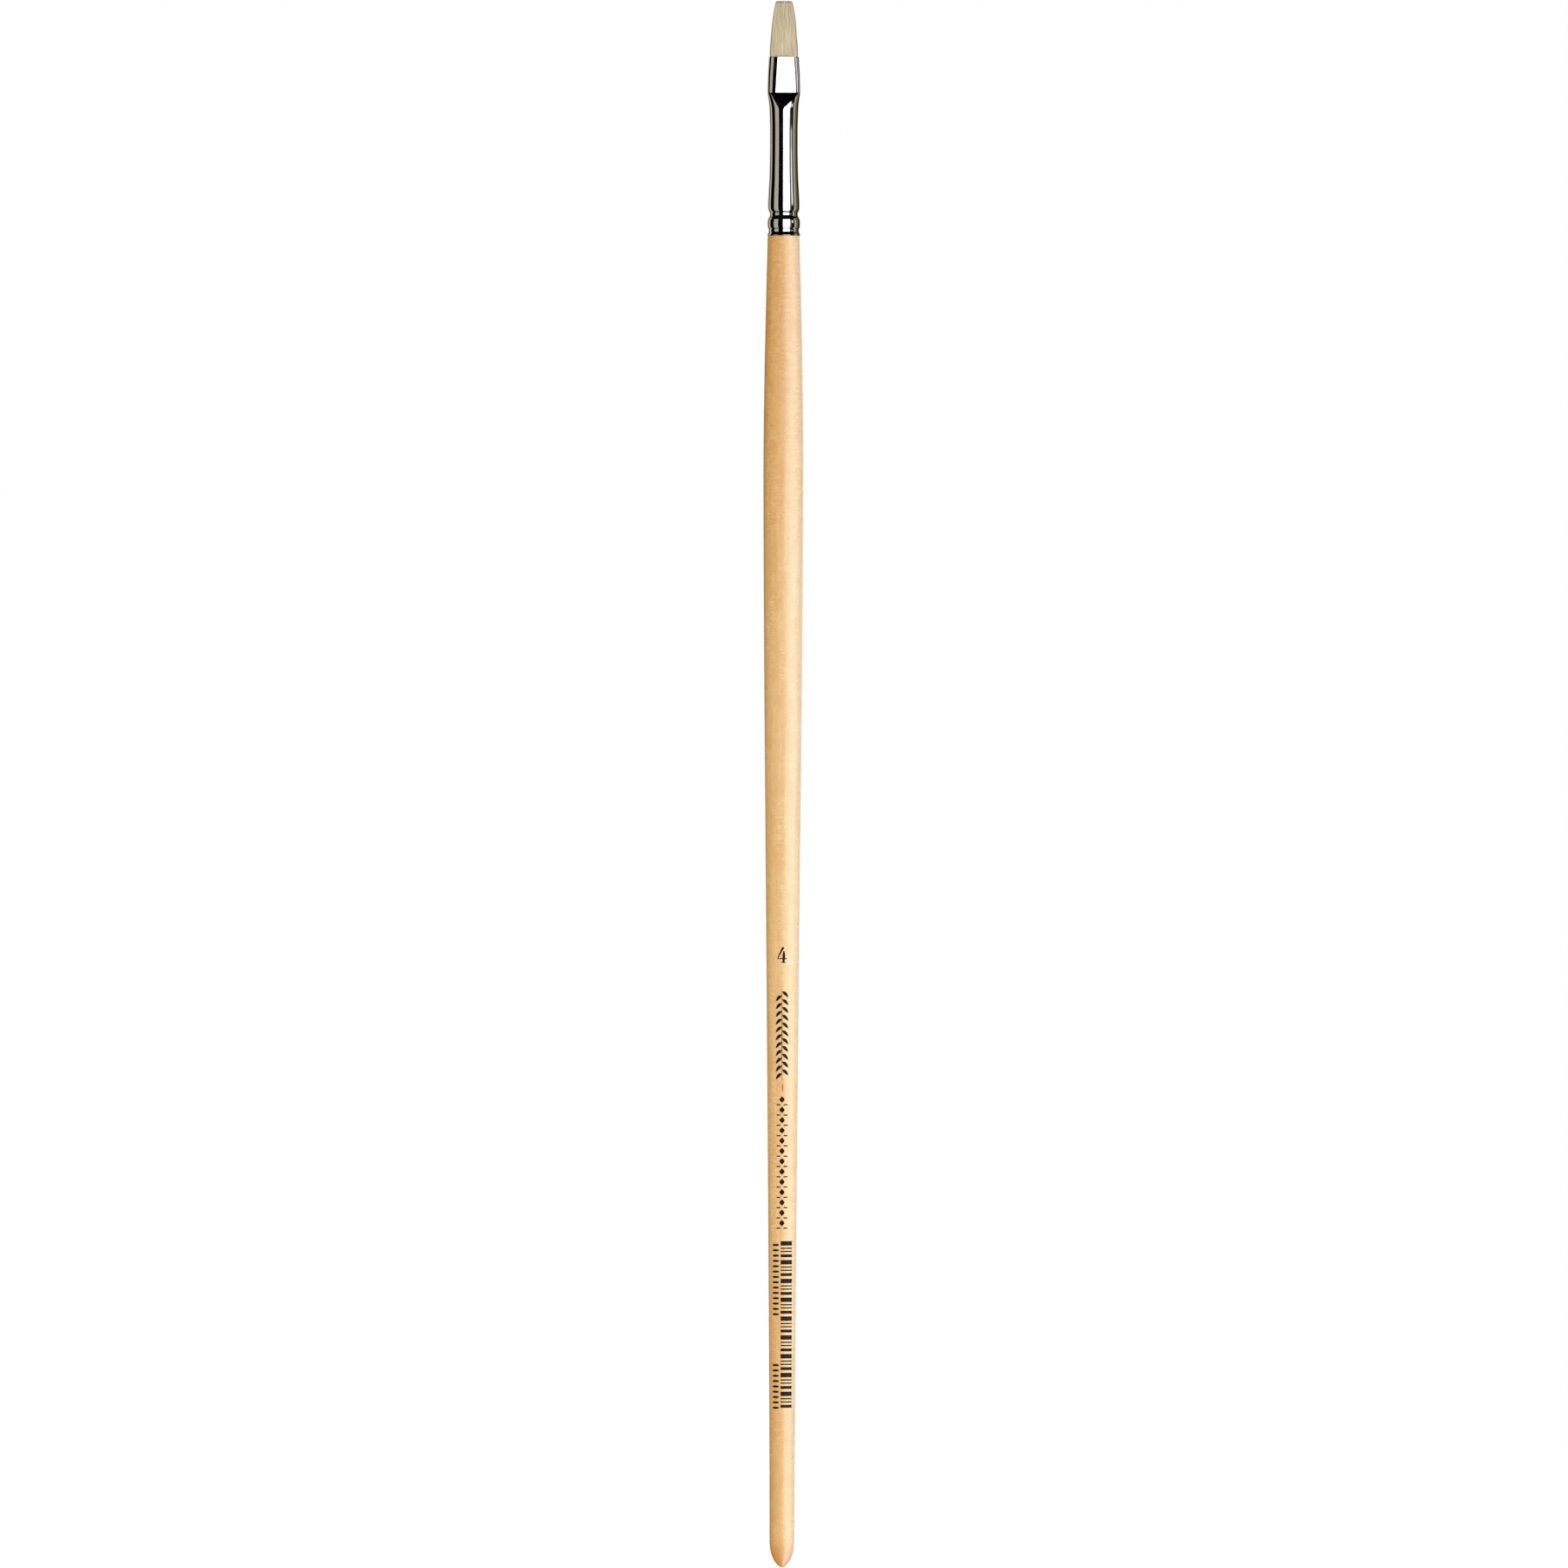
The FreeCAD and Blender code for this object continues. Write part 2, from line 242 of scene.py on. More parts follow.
def ferrule_section(rise, inset, angle):
    """Points of the ferrule's wall at a rise and an angle from the front, inset from its outside.

    x = half flat * place across the flat + (half width - half flat) * sin(turn) ^ (2 / fullness), moved
    aside by the flat's offset * (1 - (x / half width) ^ 2), and
    y = -half depth * cos(turn) ^ (2 / fullness), where turn is the angle on a round section and stays near
    nothing across the flat of a pressed one, and fullness goes from 2, a true round, to the pressed ends'.
    """
    width = flowing(FERRULE_SIDE, rise) - inset
    depth, flat, flatness = pressed(rise, angle)
    depth = depth - inset
    flat = np.minimum(flat, width * FLAT_LIMIT)
    share = math.radians(FLAT_SHARE)
    quarter = math.pi / 2
    front = np.where(np.cos(angle) >= 0, 1.0, -1.0)
    lean = np.arcsin(np.clip(np.sin(angle), -1, 1))
    across = np.clip(lean / share, -1, 1)
    rounded = np.sign(lean) * np.clip((np.abs(lean) - share) / (quarter - share), 0, 1) * quarter
    turn = lean + (rounded - lean) * flatness * FLATTENING
    power = 2 / (2 + (END_FULLNESS - 2) * flatness)
    x = flat * across + (width - flat) * np.sign(turn) * np.abs(np.sin(turn)) ** power
    x = x + FLAT_OFFSET * flatness * (1 - (x / width) ** 2)
    y = -front * depth * np.abs(np.cos(turn)) ** power
    return np.stack(np.broadcast_arrays(x, y, SHOULDER + rise), axis=-1)


def make_ferrule(columns=192):
    """Pressed ferrule: its section carried up the outside, over the mouth's rim and down the inside.

    The loop of rows closes round the base's rim. The mouth's rim is a half circle as wide as the wall, and
    the base's is squarer: its sine and cosine are raised to a small power.
    """
    length = MOUTH - SHOULDER
    rim = WALL / 2
    fine = np.linspace(rim, 6.4, 90)
    barrel = np.linspace(6.4, PRESS_START, 50)[1:]
    sinking = np.linspace(PRESS_START, PRESS_SHOULDER - 0.1, 40)[1:]
    crease = np.linspace(PRESS_SHOULDER - 0.1, PRESS_SHOULDER + 0.1, 9)[1:]
    flat = np.linspace(PRESS_SHOULDER + 0.1, length - rim, 40)[1:]
    outside = np.concatenate([fine, barrel, sinking, crease, flat])
    turn = np.linspace(0, math.pi, 13)[1:-1]
    over = rim - rim * np.cos(turn)
    square_over = rim - rim * np.sign(np.cos(turn)) * np.abs(np.cos(turn)) ** BASE_RIM_POWER
    square_rise = rim - rim * np.sin(turn) ** BASE_RIM_POWER
    rise = np.concatenate([outside, length - rim + rim * np.sin(turn), outside[::-1], square_rise])
    inset = np.concatenate([outside * 0, over, outside * 0 + WALL, square_over[::-1]])
    angle = np.linspace(-math.pi, math.pi, columns, endpoint=False)
    points = ferrule_section(rise[:, None], inset[:, None], angle[None, :])
    return new_piece("pressed_ferrule", points, grid_faces(len(rise), columns, True, True).tolist())


def hair_layout():
    """Places of the filaments across the mouth: a jittered triangular grid trimmed to the slot's outline."""
    rng = np.random.default_rng(SEED)
    half_width, half_depth = flowing(HAIR_SIDE, 0.0), flowing(HAIR_THICKNESS, 0.0)
    row_step = HAIR_SPACING * math.sqrt(3) / 2
    rows = np.arange(-math.floor(half_depth / row_step), math.floor(half_depth / row_step) + 1)
    columns = np.arange(-math.floor(half_width / HAIR_SPACING) - 1, math.floor(half_width / HAIR_SPACING) + 1)
    y, x = np.meshgrid(rows * row_step, columns * HAIR_SPACING, indexing="ij")
    x = x + (rows[:, None] % 2) * HAIR_SPACING / 2
    x = x + rng.uniform(-HAIR_JITTER, HAIR_JITTER, x.shape) * HAIR_SPACING
    y = y + rng.uniform(-HAIR_JITTER, HAIR_JITTER, y.shape) * HAIR_SPACING
    reach = half_width - half_depth
    outside = np.maximum(np.abs(x) - reach, 0)
    inside = np.hypot(outside, y) < half_depth - HAIR_ROOT_RADIUS
    return x[inside], y[inside], rng


def make_hair():
    """Tapered filaments, each a thin closed tube that follows the bundle's outline up to the square tip.

    A filament at (x, y) in the mouth is at x * width / mouth width and y * thickness / mouth thickness
    higher up, plus its own two-wave bow. Towards the tip it leans to the middle of its clump. Its tip is
    lower by its clump's drop, its own, the sides' drop * place across ^ 4 and, for a few, a longer one.
    """
    x, y, rng = hair_layout()
    count = len(x)
    mouth_width, mouth_depth = flowing(HAIR_SIDE, 0.0), flowing(HAIR_THICKNESS, 0.0)
    across = x / mouth_width
    through = y / mouth_depth
    wander = rng.uniform(-CLUMP_WANDER, CLUMP_WANDER, CLUMPS - 1)
    bounds = np.linspace(-1, 1, CLUMPS + 1) + np.concatenate([[0], wander, [0]])
    clump = np.clip(np.searchsorted(bounds, across) - 1, 0, CLUMPS - 1)
    middle = (bounds[clump] + bounds[clump + 1]) / 2
    clump_drop = rng.uniform(0.0, CLUMP_DROP, CLUMPS)
    clump_shade = rng.uniform(0.0, 1.0, CLUMPS)
    drop = (clump_drop[clump] + rng.uniform(0, TIP_DROP, count) + SIDE_DROP * np.abs(across) ** 4
            + rng.uniform(0, 1, count) ** 9 * SHORT_DROP)
    tip = HAIR_TIP - (drop - drop.min())
    foot = MOUTH - HAIR_FOOT
    along = np.linspace(0, 1, HAIR_RINGS)[None, :] ** 0.85
    height = foot + (tip[:, None] - foot) * along
    rise = height - MOUTH
    free = np.clip(rise / (HAIR_TIP - MOUTH), 0, 1)
    place = across[:, None] + (middle - across)[:, None] * CLUMP_GATHER * free ** 3
    centre_x = place * flowing(HAIR_SIDE, rise)
    centre_y = through[:, None] * flowing(HAIR_THICKNESS, rise)
    bow = rng.normal(0, HAIR_BOW, (4, count, 1))
    centre_x = centre_x + bow[0] * np.sin(math.pi * free) + bow[1] * np.sin(2 * math.pi * free)
    centre_y = centre_y + bow[2] * np.sin(math.pi * free) + bow[3] * np.sin(2 * math.pi * free)
    stray = (rng.uniform(0, 1, count) < STRAY_SHARE)[:, None] * rng.uniform(*STRAY_REACH, (count, 1))
    centre_x = centre_x + np.sign(across)[:, None] * stray * free ** 2
    radius = HAIR_ROOT_RADIUS + (HAIR_TIP_RADIUS - HAIR_ROOT_RADIUS) * free ** 1.3
    spin = np.linspace(0, 2 * math.pi, HAIR_SIDES, endpoint=False)
    ring = np.stack(np.broadcast_arrays(
        centre_x[..., None] + radius[..., None] * np.cos(spin),
        centre_y[..., None] + radius[..., None] * np.sin(spin),
        height[..., None]), axis=-1)
    points = ring.reshape(-1, 3)
    each = HAIR_RINGS * HAIR_SIDES
    tube = grid_faces(HAIR_RINGS, HAIR_SIDES, False, True)
    start = (np.arange(count) * each)[:, None, None]
    sides = (start + tube[None]).reshape(-1, 4)
    tips = (start[:, 0] + each - HAIR_SIDES + np.arange(HAIR_SIDES)[None]).tolist()
    feet = (start[:, 0] + np.arange(HAIR_SIDES)[None, ::-1]).tolist()
    piece = new_piece("hair_filaments", points, sides.tolist() + tips + feet)
    shade = np.clip(0.45 * clump_shade[clump] + 0.55 * rng.uniform(0, 1, count), 0, 1)
    add_values(piece, "shade", np.repeat(shade, each))
    add_values(piece, "rise", np.repeat(free.reshape(-1), HAIR_SIDES))
    # Painted shade: a value that darkens the outermost filaments at both sides of the bundle in their
    # material.
    side = np.clip((np.abs(across) - SIDE_SHADE_START) / SIDE_SHADE_SOFTNESS, 0, 1)
    add_values(piece, "side", np.repeat(side, each))
    return piece


def add_values(piece, name, values):
    """Give every point of a piece a named value that its material reads."""
    attribute = piece.data.attributes.new(name, "FLOAT", "POINT")
    attribute.data.foreach_set("value", values.astype(np.float32))


def make_hair_core(columns=96, rows=60):
    """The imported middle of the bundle: a slot section that follows the ferrule's inside, then the hair.

    It fills the root between the cement and the mouth, and above the mouth it stays under the filaments:
    its half width and half depth are the hair's * (0.86 - 0.35 * share of its free length ^ 3).
    """
    rise = np.linspace(HAIR_ROOT - SHOULDER, MOUTH - SHOULDER - 0.5, rows // 2)
    angle = np.linspace(-math.pi, math.pi, columns, endpoint=False)
    root = ferrule_section(rise[:, None], WALL + CORE_GAP, angle[None, :])
    free = np.linspace(0.0, 1.0, rows // 2)
    free_rise = -0.2 + (CORE_RISE + 0.2) * free
    shrink = 0.86 - 0.35 * free ** 3
    half_width = flowing(HAIR_SIDE, free_rise) * shrink
    half_depth = flowing(HAIR_THICKNESS, free_rise) * shrink
    mouth = root[-1]
    scale_x = half_width / np.abs(mouth[:, 0]).max()
    scale_y = half_depth / np.abs(mouth[:, 1]).max()
    upper = np.stack(np.broadcast_arrays(mouth[None, :, 0] * scale_x[:, None],
                                         mouth[None, :, 1] * scale_y[:, None],
                                         (MOUTH + free_rise)[:, None]), axis=-1)
    points = np.concatenate([root, upper]).reshape(-1, 3)
    total = len(points) // columns
    faces = grid_faces(total, columns, False, True).tolist()
    faces.append(list(range(columns))[::-1])
    faces.append(list(range((total - 1) * columns, total * columns)))
    piece = new_piece("hair_core", points, faces)
    add_values(piece, "shade", np.full(len(points), 0.35))
    add_values(piece, "rise", np.clip((points[:, 2] - MOUTH) / (HAIR_TIP - MOUTH), 0, 1))
    add_values(piece, "side", np.zeros(len(points)))
    return piece


# ---------------------------------------------------------------------------------------------------------
# Print on the handle
# ---------------------------------------------------------------------------------------------------------

INK_LIFT = 0.010
INK_DEPTH = 0.015


def on_handle(across, height, lift):
    """A point printed on the front of the handle, from its distance round the wood and its height.

    The angle is distance / radius, and the point stands off the wood by the lift.
    """
    radius = handle_radius(height)
    angle = across / radius
    return np.stack(np.broadcast_arrays((radius + lift) * np.sin(angle), -(radius + lift) * np.cos(angle),
                                        height), axis=-1)


def stroke(start, end, widths, bow=0.0, steps=14, strips=6):
    """One printed stroke as a grid of (distance round, height): a bowed centre line with a width along it.

    The centre line is start + s * (end - start) plus bow * sin(pi * s) sideways, and the width is flowing.
    """
    s = np.linspace(0, 1, steps)
    start, end = np.array(start, float), np.array(end, float)
    run = end - start
    sideways = np.array([-run[1], run[0]]) / np.hypot(*run)
    centre = start + s[:, None] * run + bow * np.sin(math.pi * s)[:, None] * sideways
    slope = np.gradient(centre, axis=0)
    normal = np.stack([-slope[:, 1], slope[:, 0]], axis=-1)
    normal = normal / np.linalg.norm(normal, axis=1)[:, None]
    width = flowing(widths, s)
    side = np.linspace(-0.5, 0.5, strips)
    return centre[:, None, :] + normal[:, None, :] * (width[:, None] * side[None, :])[..., None]


def print_strokes(name, strokes, ink):
    """Ink piece: each stroke becomes a thin closed pad that follows the handle."""
    points, faces, used = [], [], 0
    for index, place in enumerate(strokes):
        rows, columns = place.shape[:2]
        lift = INK_LIFT + 0.0004 * (index % 5)
        top = on_handle(place[..., 0], place[..., 1], lift).reshape(-1, 3)
        under = on_handle(place[..., 0], place[..., 1], -INK_DEPTH).reshape(-1, 3)
        sheet = grid_faces(rows, columns, False, False)
        border = np.concatenate([np.arange(columns), np.arange(2, rows) * columns - 1,
                                 np.arange(rows * columns - 1, (rows - 1) * columns - 1, -1),
                                 np.arange(rows - 2, 0, -1) * columns])
        after = np.roll(border, -1)
        size = rows * columns
        edge = np.stack([border, border + size, after + size, after], axis=-1)
        handed = 1 if outward(top, sheet) else -1
        faces += (used + sheet[:, ::handed]).tolist()
        faces += (used + size + sheet[:, ::-handed]).tolist()
        faces += (used + edge[:, ::handed]).tolist()
        points += [top, under]
        used += 2 * size
    piece = new_piece(name, np.concatenate(points), faces, smooth=False)
    piece.data.materials.append(ink)
    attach(piece, "root")
    return piece


def outward(points, faces):
    """Whether a sheet's faces point away from the brush's axis."""
    corners = points[faces]
    normal = np.cross(corners[:, 1] - corners[:, 0], corners[:, 3] - corners[:, 0]).sum(axis=0)
    middle = corners.mean(axis=(0, 1))
    return normal[0] * middle[0] + normal[1] * middle[1] > 0


def numeral_four(middle, base, height):
    """Strokes of a serifed figure four that reads towards the hair."""
    unit = height / 3.0

    def at(across, up):
        return (middle + across * unit, base + up * unit)

    return [
        stroke(at(0.22, 2.92), at(-0.80, 0.88), [(0, 0.46 * unit), (0.35, 0.34 * unit), (1, 0.17 * unit)]),
        stroke(at(0.02, 2.93), at(0.46, 2.93), [(0, 0.10 * unit), (1, 0.10 * unit)]),
        stroke(at(-0.90, 0.78), at(0.95, 0.78), [(0, 0.16 * unit), (0.6, 0.20 * unit), (1, 0.15 * unit)]),
        stroke(at(0.40, 2.22), at(0.31, 0.10), [(0, 0.26 * unit), (0.4, 0.52 * unit), (1, 0.40 * unit)]),
        stroke(at(-0.20, 0.07), at(0.80, 0.07), [(0, 0.08 * unit), (0.5, 0.24 * unit), (1, 0.08 * unit)]),
    ]


def leaf_spray(middle, low, high, pairs=11):
    """Strokes of a spray: a thin stem with slanting leaves on alternate sides."""
    strokes = [stroke((middle, high), (middle, low), [(0, 0.05), (0.5, 0.13), (1, 0.05)], steps=60)]
    step = (high - low) / (pairs + 0.6)
    leaf = [(0, 0.03), (0.35, 0.62), (0.7, 0.46), (1, 0.03)]
    for index in range(pairs * 2):
        side = -1 if index % 2 else 1
        foot = high - step * (0.20 + index * 0.5)
        tip = (middle + side * 1.20, foot - step * 0.80)
        strokes.append(stroke((middle, foot), tip, leaf, bow=0.14 * side))
    return strokes


def lozenge_band(middle, low, high, repeats=13):
    """Strokes of a band of upright lozenges with a pair of dashes between each two."""
    strokes = []
    step = (high - low) / repeats
    lozenge = [(0, 0.03), (0.5, 1.00), (1, 0.03)]
    for index in range(repeats):
        centre = high - step * (index + 0.5)
        strokes.append(stroke((middle, centre + 0.62), (middle, centre - 0.62), lozenge))
        for side in (-1, 1):
            begin = (middle + side * 0.30, centre - step / 2)
            finish = (middle + side * 1.05, centre - step / 2)
            strokes.append(stroke(begin, finish, [(0, 0.24), (1, 0.24)]))
    return strokes


def bar_ladder(left, right, low, high, groups=9):
    """Strokes of a plain ladder of bars: each group repeats one broad, two narrow and one middling bar."""
    strokes = []
    group = (high - low) / groups
    bars = [(0.14, 0.86), (0.40, 0.26), (0.57, 0.26), (0.80, 0.58)]
    for index in range(groups):
        for place, width in bars:
            height = high - group * (index + place)
            strokes.append(stroke((left, height), (right, height), [(0, width), (1, width)], strips=3))
    return strokes


def short_dash(middle, low, high):
    """The one stroke of a small dash between the two ornaments."""
    return [stroke((middle, high), (middle, low), [(0, 0.26), (1, 0.26)], steps=6)]


def tick_row(middle, low, high, step, size):
    """Strokes of a row of small upright ticks beside the ladder."""
    count = int((high - low) / step)
    heights = high - step * (np.arange(count) + 0.5)
    return [stroke((middle - size, height), (middle + size, height), [(0, 0.30), (0.5, 0.44), (1, 0.30)])
            for height in heights]


# ---------------------------------------------------------------------------------------------------------
# Materials
# ---------------------------------------------------------------------------------------------------------

class Nodes:
    """Short calls for wiring one node tree."""

    def __init__(self, tree):
        self.tree = tree

    def add(self, kind, settings=None, **inputs):
        """A node with its properties set and its inputs given as values or linked outputs."""
        node = self.tree.nodes.new(kind)
        for key, value in (settings or {}).items():
            setattr(node, key, value)
        for key, value in inputs.items():
            self.put(node, key.replace("_", " "), value)
        return node

    def put(self, node, name, value):
        """Link an output to an input, or set the input's own value."""
        socket = node.inputs[name]
        if isinstance(value, bpy.types.NodeSocket):
            self.tree.links.new(value, socket)
        else:
            socket.default_value = value

    def math(self, operation, first, second=0.0, third=0.0, clamp=False):
        """The result of one sum on values or linked outputs."""
        node = self.tree.nodes.new("ShaderNodeMath")
        node.operation = operation
        node.use_clamp = clamp
        for index, value in enumerate((first, second, third)):
            if isinstance(value, bpy.types.NodeSocket):
                self.tree.links.new(value, node.inputs[index])
            else:
                node.inputs[index].default_value = value
        return node.outputs[0]

    def span(self, value, low, high, new_low=0.0, new_high=1.0, smooth=False):
        """A value carried from one range to another and kept inside it."""
        node = self.add("ShaderNodeMapRange", {"interpolation_type": "SMOOTHSTEP" if smooth else "LINEAR"})
        for name, given in (("Value", value), ("From Min", low), ("From Max", high), ("To Min", new_low),
                            ("To Max", new_high)):
            self.put(node, name, given)
        return node.outputs["Result"]

    def noise(self, vector, scale, detail=2.0, roughness=0.5, distortion=0.0):
        """Cloudy noise from 0 to 1."""
        node = self.add("ShaderNodeTexNoise", {"normalize": True}, Vector=vector, Scale=scale, Detail=detail,
                        Roughness=roughness, Distortion=distortion)
        return node.outputs["Fac"]

    def stretch(self, vector, across, along):
        """Coordinates squeezed across the brush and along it by different amounts."""
        return self.add("ShaderNodeMapping", Vector=vector, Scale=(across, across, along)).outputs["Vector"]

    def mix(self, factor, first, second, blend="MIX"):
        """Two colours blended by a factor."""
        node = self.add("ShaderNodeMix", {"data_type": "RGBA", "blend_type": blend, "clamp_factor": True})
        for index, value in ((0, factor), (6, first), (7, second)):
            if isinstance(value, bpy.types.NodeSocket):
                self.tree.links.new(value, node.inputs[index])
            else:
                node.inputs[index].default_value = value
        return node.outputs[2]

    def ramp(self, value, stops):
        """Colours along a value, as (place, colour) stops."""
        node = self.tree.nodes.new("ShaderNodeValToRGB")
        elements = node.color_ramp.elements
        while len(elements) < len(stops):
            elements.new(0.5)
        for element, (place, colour) in zip(elements, stops):
            element.position = place
            element.color = colour
        self.tree.links.new(value, node.inputs[0])
        return node.outputs["Color"]


def rgb(red, green, blue):
    """A colour given as 0 to 255 display values, turned to linear light."""

    def linear(value):
        value = value / 255
        return value / 12.92 if value <= 0.04045 else ((value + 0.055) / 1.055) ** 2.4

    return (linear(red), linear(green), linear(blue), 1.0)


def new_group(name, inputs, outputs):
    """An empty shader node group with named float and vector inputs and float outputs."""
    tree = bpy.data.node_groups.new(name, "ShaderNodeTree")
    for label, value in inputs.items():
        kind = "NodeSocketVector" if value is None else "NodeSocketFloat"
        socket = tree.interface.new_socket(name=label, in_out="INPUT", socket_type=kind)
        if value is not None:
            socket.default_value = value
    for label in outputs:
        tree.interface.new_socket(name=label, in_out="OUTPUT", socket_type="NodeSocketFloat")
    nodes = Nodes(tree)
    given = nodes.add("NodeGroupInput").outputs
    results = nodes.add("NodeGroupOutput")
    return tree, nodes, given, results


def make_streaks_group():
    """Long streaks that run up the brush: noise squeezed across it and drawn out along it."""
    tree, nodes, given, results = new_group(
        "long_streaks", {"Place": None, "Across": 6.0, "Along": 0.12, "Contrast": 1.0}, ["Streak"])
    scale = nodes.add("ShaderNodeCombineXYZ", X=given["Across"], Y=given["Across"], Z=given["Along"])
    squeezed = nodes.add("ShaderNodeVectorMath", {"operation": "MULTIPLY"})
    tree.links.new(given["Place"], squeezed.inputs[0])
    tree.links.new(scale.outputs[0], squeezed.inputs[1])
    coarse = nodes.noise(squeezed.outputs[0], 1.0, detail=3.0, roughness=0.55)
    centred = nodes.math("SUBTRACT", coarse, 0.5)
    spread = nodes.math("MULTIPLY", centred, given["Contrast"])
    nodes.put(results, "Streak", nodes.math("ADD", spread, 0.5, clamp=True))
    return tree


def make_handling_group():
    """Faint smudges and fine specks from handling and dust."""
    tree, nodes, given, results = new_group(
        "handling_marks", {"Place": None, "Smudge Size": 0.5, "Speck Size": 12.0}, ["Smudge", "Speck"])
    smudge = nodes.noise(given["Place"], given["Smudge Size"], detail=3.0, distortion=0.6)
    nodes.put(results, "Smudge", nodes.span(smudge, 0.42, 0.68, smooth=True))
    cells = nodes.add("ShaderNodeTexVoronoi", {"feature": "F1"}, Vector=given["Place"],
                      Scale=given["Speck Size"])
    near = nodes.span(cells.outputs["Distance"], 0.10, 0.04)
    rare = nodes.noise(given["Place"], 1.7, detail=0.0)
    nodes.put(results, "Speck", nodes.math("MULTIPLY", near, nodes.span(rare, 0.58, 0.64)))
    return tree


def place_group(nodes, tree, **inputs):
    """One of the shared groups placed in a material with its own values."""
    node = nodes.tree.nodes.new("ShaderNodeGroup")
    node.node_tree = tree
    for key, value in inputs.items():
        nodes.put(node, key.replace("_", " "), value)
    return node


def new_material(name):
    """A material with its nodes, its shader and the piece's own coordinates in millimetres."""
    material = bpy.data.materials.new(name)
    material.use_nodes = True
    material.node_tree.nodes.clear()
    nodes = Nodes(material.node_tree)
    shader = nodes.add("ShaderNodeBsdfPrincipled")
    output = nodes.add("ShaderNodeOutputMaterial")
    material.node_tree.links.new(shader.outputs[0], output.inputs["Surface"])
    own = nodes.add("ShaderNodeTexCoord").outputs["Object"]
    place = nodes.add("ShaderNodeMapping", Vector=own, Scale=(1 / MM, 1 / MM, 1 / MM)).outputs["Vector"]
    return material, nodes, shader, place


def bump(nodes, shader, height, distance, socket="Normal"):
    """Fine relief, of a distance in metres, on one of the shader's normals."""
    node = nodes.add("ShaderNodeBump", Height=height, Distance=distance, Strength=1.0)
    nodes.put(shader, socket, node.outputs["Normal"])


def varnished_wood(streaks, handling):
    """Clear varnish over pale close-grained hardwood.

    Long fibres carry cross ripples, blotches, mottle and short dark rays. The wood is deeper towards both
    ends of the handle, and the varnish is pooled and golden at the tip of the tail.
    """
    material, nodes, shader, place = new_material("varnished_hardwood")
    height = nodes.add("ShaderNodeSeparateXYZ", Vector=place).outputs["Z"]
    fibre = place_group(nodes, streaks, Place=place, Across=1.3, Along=0.045, Contrast=1.1).outputs[0]
    fine = place_group(nodes, streaks, Place=place, Across=6.0, Along=0.9, Contrast=1.5).outputs[0]
    tone = nodes.math("MULTIPLY_ADD", fibre, 0.58, nodes.math("MULTIPLY", fine, 0.42))
    colour = nodes.ramp(tone, [(0.22, rgb(212, 162, 92)), (0.45, rgb(226, 181, 116)),
                               (0.60, rgb(232, 190, 126)), (0.80, rgb(242, 204, 146))])
    figure = nodes.noise(nodes.stretch(place, 0.30, 0.075), 1.0, detail=2.0, distortion=0.5)
    figured = nodes.span(figure, 0.40, 0.58, smooth=True)
    ripple = nodes.noise(nodes.stretch(place, 0.75, 2.7), 1.0, detail=3.0, roughness=0.65, distortion=0.9)
    dark_ripple = nodes.math("MULTIPLY", nodes.span(ripple, 0.50, 0.66), figured)
    pale_ripple = nodes.math("MULTIPLY", nodes.span(ripple, 0.50, 0.36), figured)
    colour = nodes.mix(nodes.math("MULTIPLY", dark_ripple, 0.54), colour, rgb(222, 156, 76))
    colour = nodes.mix(nodes.math("MULTIPLY", pale_ripple, 0.42), colour, rgb(250, 217, 168))
    cloud = nodes.noise(nodes.stretch(place, 0.42, 0.20), 1.0, detail=2.0)
    blotch = nodes.span(cloud, 0.50, 0.68, smooth=True)
    colour = nodes.mix(nodes.math("MULTIPLY", blotch, 0.40), colour, rgb(222, 160, 84))
    mottle = nodes.noise(nodes.stretch(place, 3.4, 4.6), 1.0, detail=2.0, roughness=0.7)
    colour = nodes.mix(nodes.span(mottle, 0.42, 0.72, 0.0, 0.34), colour, rgb(206, 150, 88))
    top_end = nodes.span(height, 165.0, 250.0, 0.0, 1.0, True)
    tail_end = nodes.span(height, 15.0, 95.0, 0.60, 0.0, True)
    deeper = nodes.mix(1.0, colour, (0.90, 0.78, 0.60, 1.0), blend="MULTIPLY")
    colour = nodes.mix(nodes.math("ADD", top_end, tail_end, clamp=True), colour, deeper)
    ray_place = nodes.stretch(place, 5.2, 1.05)
    ray = nodes.add("ShaderNodeTexVoronoi", {"feature": "F1"}, Vector=ray_place, Scale=1.0)
    ray_mask = nodes.span(ray.outputs["Distance"], 0.22, 0.10)
    some = nodes.span(nodes.noise(place, 0.9, detail=1.0), 0.50, 0.66)
    rays = nodes.math("MULTIPLY", ray_mask, some)
    colour = nodes.mix(nodes.math("MULTIPLY", rays, 0.32), colour, rgb(190, 128, 62))
    marks = place_group(nodes, handling, Place=place, Smudge_Size=0.22, Speck_Size=2.3)
    colour = nodes.mix(nodes.math("MULTIPLY", marks.outputs["Speck"], 0.45), colour, rgb(150, 92, 42))
    pooled = nodes.span(height, 1.0, 7.0, 1.0, 0.0, True)
    colour = nodes.mix(nodes.math("MULTIPLY", pooled, 0.95), colour, rgb(200, 134, 52))
    nodes.put(shader, "Base Color", colour)
    shader.inputs["Specular IOR Level"].default_value = 0.35
    nodes.put(shader, "Roughness", nodes.span(tone, 0.2, 0.8, 0.50, 0.40))
    nodes.put(shader, "Coat Weight", nodes.span(marks.outputs["Smudge"], 0.0, 1.0, 1.0, 0.90))
    shader.inputs["Coat Roughness"].default_value = 0.12
    shader.inputs["Coat IOR"].default_value = 1.5
    bump(nodes, shader, nodes.math("SUBTRACT", tone, nodes.math("MULTIPLY", rays, 0.5)), 0.006 * MM)
    film = nodes.noise(nodes.stretch(place, 0.9, 0.30), 1.0, detail=2.0)
    bump(nodes, shader, film, 0.020 * MM, socket="Coat Normal")
    return material


